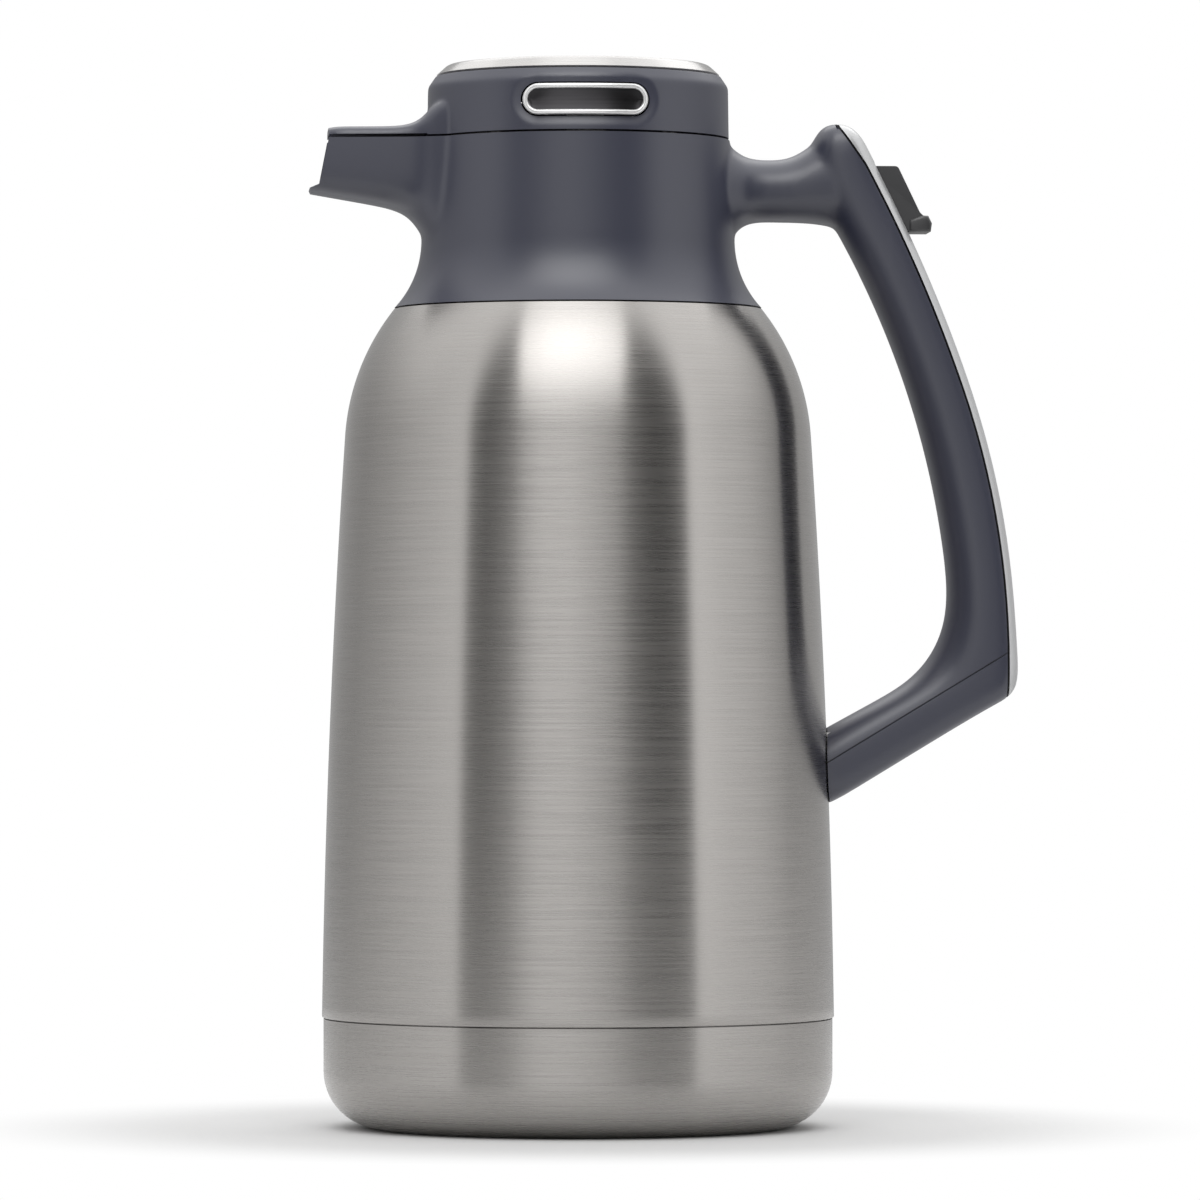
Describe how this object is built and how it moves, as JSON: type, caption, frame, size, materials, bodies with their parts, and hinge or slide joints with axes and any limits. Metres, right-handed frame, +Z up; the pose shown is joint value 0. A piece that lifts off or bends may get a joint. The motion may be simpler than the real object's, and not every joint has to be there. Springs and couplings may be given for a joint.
{
  "type": "vacuum jug",
  "caption": "Insulated steel jug with a spout, a lift-off lid with release buttons, and a handle whose thumb lever opens the pouring valve.",
  "frame": {"origin": "centre of the base on the body's axis, in the plane it stands on", "axes": "+Z up along the body, -X towards the spout, +X towards the handle"},
  "size_m": [0.1876, 0.1356, 0.2813],
  "materials": {
    "brushed_body": "brushed round the body, satin",
    "inner_steel": "smooth drawn steel",
    "hidden_steel": "plain",
    "screw_steel": "plain",
    "grey_plastic": "fine satin grain, blue-grey",
    "silver_strip": "satin silver",
    "dark_gasket": "matt",
    "black_plastic": "matt",
    "white_plastic": "natural",
    "silicone": "translucent grey, matt",
    "stem_steel": "turned",
    "lid_steel": "brushed disc",
    "ring_chrome": "polished",
    "insert_steel": "dark brushed"
  },
  "bodies": {
    "body": {"outer_shell": "brushed_body", "base_cup": "brushed_body", "base_cover": "black_plastic", "vacuum_seal": "inner_steel", "getter_capsule": "hidden_steel", "liner_body": "inner_steel", "liner_bottom": "inner_steel", "neck_gasket": "silicone", "clamp_ring": "hidden_steel", "collar_spout": "grey_plastic", "handle_grip": "grey_plastic", "lower_arm_cover": "grey_plastic", "handle_bracket": "hidden_steel", "bracket_screws": "screw_steel", "handle_strip": "silver_strip", "strip_gasket": "dark_gasket", "lever_pin": "hidden_steel", "rod_guides": "white_plastic", "rod_seal": "silicone", "rod_spring": "hidden_steel"},
    "thumb_lever": {"thumb_lever": "black_plastic"},
    "push_rod": {"push_rod": "white_plastic"},
    "lid": {"lid_shell": "grey_plastic", "lid_disc": "lid_steel", "stopper_body": "white_plastic", "stopper_seal": "silicone", "lid_screws": "screw_steel", "valve_seat": "silicone", "stem_seal": "silicone", "crank_pin": "hidden_steel", "valve_spring": "hidden_steel"},
    "valve_crank": {"valve_crank": "white_plastic"},
    "valve_stem": {"valve_stem": "stem_steel", "valve_plug": "silicone", "stem_nut": "stem_steel"},
    "release_near": {"button_body_near": "white_plastic", "button_ring_near": "ring_chrome", "button_insert_near": "insert_steel", "latch_hook_near": "white_plastic", "button_spring_near": "hidden_steel"},
    "release_far": {"button_body_far": "white_plastic", "button_ring_far": "ring_chrome", "button_insert_far": "insert_steel", "latch_hook_far": "white_plastic", "button_spring_far": "hidden_steel"}
  },
  "joints": [
    {"name": "lid_lift", "type": "slide", "parent": "body", "child": "lid", "axis": [0, 0, 1], "range_m": [0, 0.06], "deforming": ["latch_hook_near", "latch_hook_far"]},
    {"name": "release_near", "type": "slide", "parent": "lid", "child": "release_near", "axis": [0, 1, 0], "range_m": [0, 0.0022], "stiffness_N_per_m": 600, "deforming": ["button_spring_near"]},
    {"name": "release_far", "type": "slide", "parent": "lid", "child": "release_far", "axis": [0, -1, 0], "range_m": [0, 0.0022], "stiffness_N_per_m": 600, "deforming": ["button_spring_far"]},
    {"name": "thumb_swing", "type": "hinge", "parent": "body", "child": "thumb_lever", "pos_m": [0.0818, 0, 0.2346], "axis": [0, -1, 0], "range_deg": [0, 9.5], "stiffness_Nm_per_rad": 0.3},
    {"name": "rod_push", "type": "slide", "parent": "body", "child": "push_rod", "axis": [-1, 0, 0], "range_m": [0, 0.00252], "deforming": ["rod_spring"]},
    {"name": "crank_turn", "type": "hinge", "parent": "lid", "child": "valve_crank", "pos_m": [0.0322, 0, 0.267], "axis": [0, 1, 0], "range_deg": [0, 8.15]},
    {"name": "stem_lift", "type": "slide", "parent": "lid", "child": "valve_stem", "axis": [0, 0, 1], "range_m": [0, 0.00452], "deforming": ["valve_spring"]}
  ],
  "couplings": [
    {"joint": "rod_push", "follows": "thumb_swing", "m_per_rad": 0.015078},
    {"joint": "crank_turn", "follows": "thumb_swing", "ratio": 0.8526},
    {"joint": "stem_lift", "follows": "thumb_swing", "m_per_rad": 0.02714}
  ]
}
